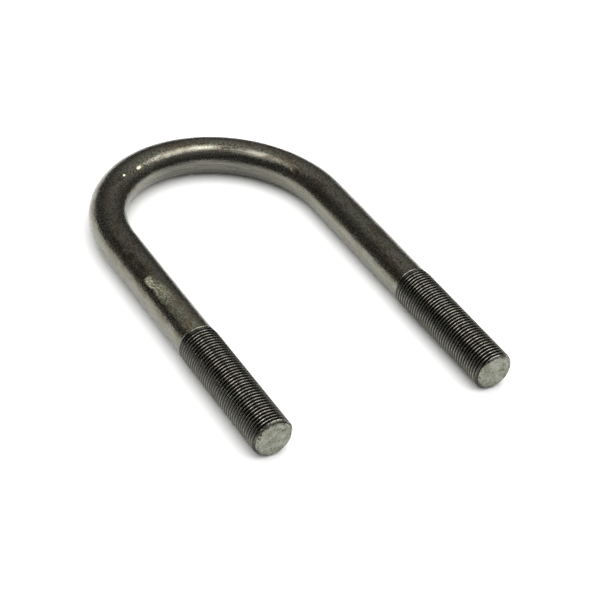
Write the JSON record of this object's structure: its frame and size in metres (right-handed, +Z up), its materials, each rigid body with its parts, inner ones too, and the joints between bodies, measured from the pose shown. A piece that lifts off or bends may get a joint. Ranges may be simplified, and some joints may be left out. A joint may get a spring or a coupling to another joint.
{
  "type": "u-bolt",
  "caption": "Steel bar bent round into a U, with a fine right-hand thread rolled on the end of each leg, for clamping a round tube to a plate or saddle.",
  "frame": {"origin": "on the surface the bolt lies on, under the middle of its bounding box", "axes": "+Z up from the surface it lies on; +Y along the legs, from their threaded ends towards the bend; +X across the two legs"},
  "size_m": [0.1086, 0.1738, 0.0159],
  "materials": {
    "plain_steel": "uncoated mill finish, dark and lightly oiled"
  },
  "bodies": {
    "root": {"threaded_bar": "plain_steel"}
  },
  "joints": []
}
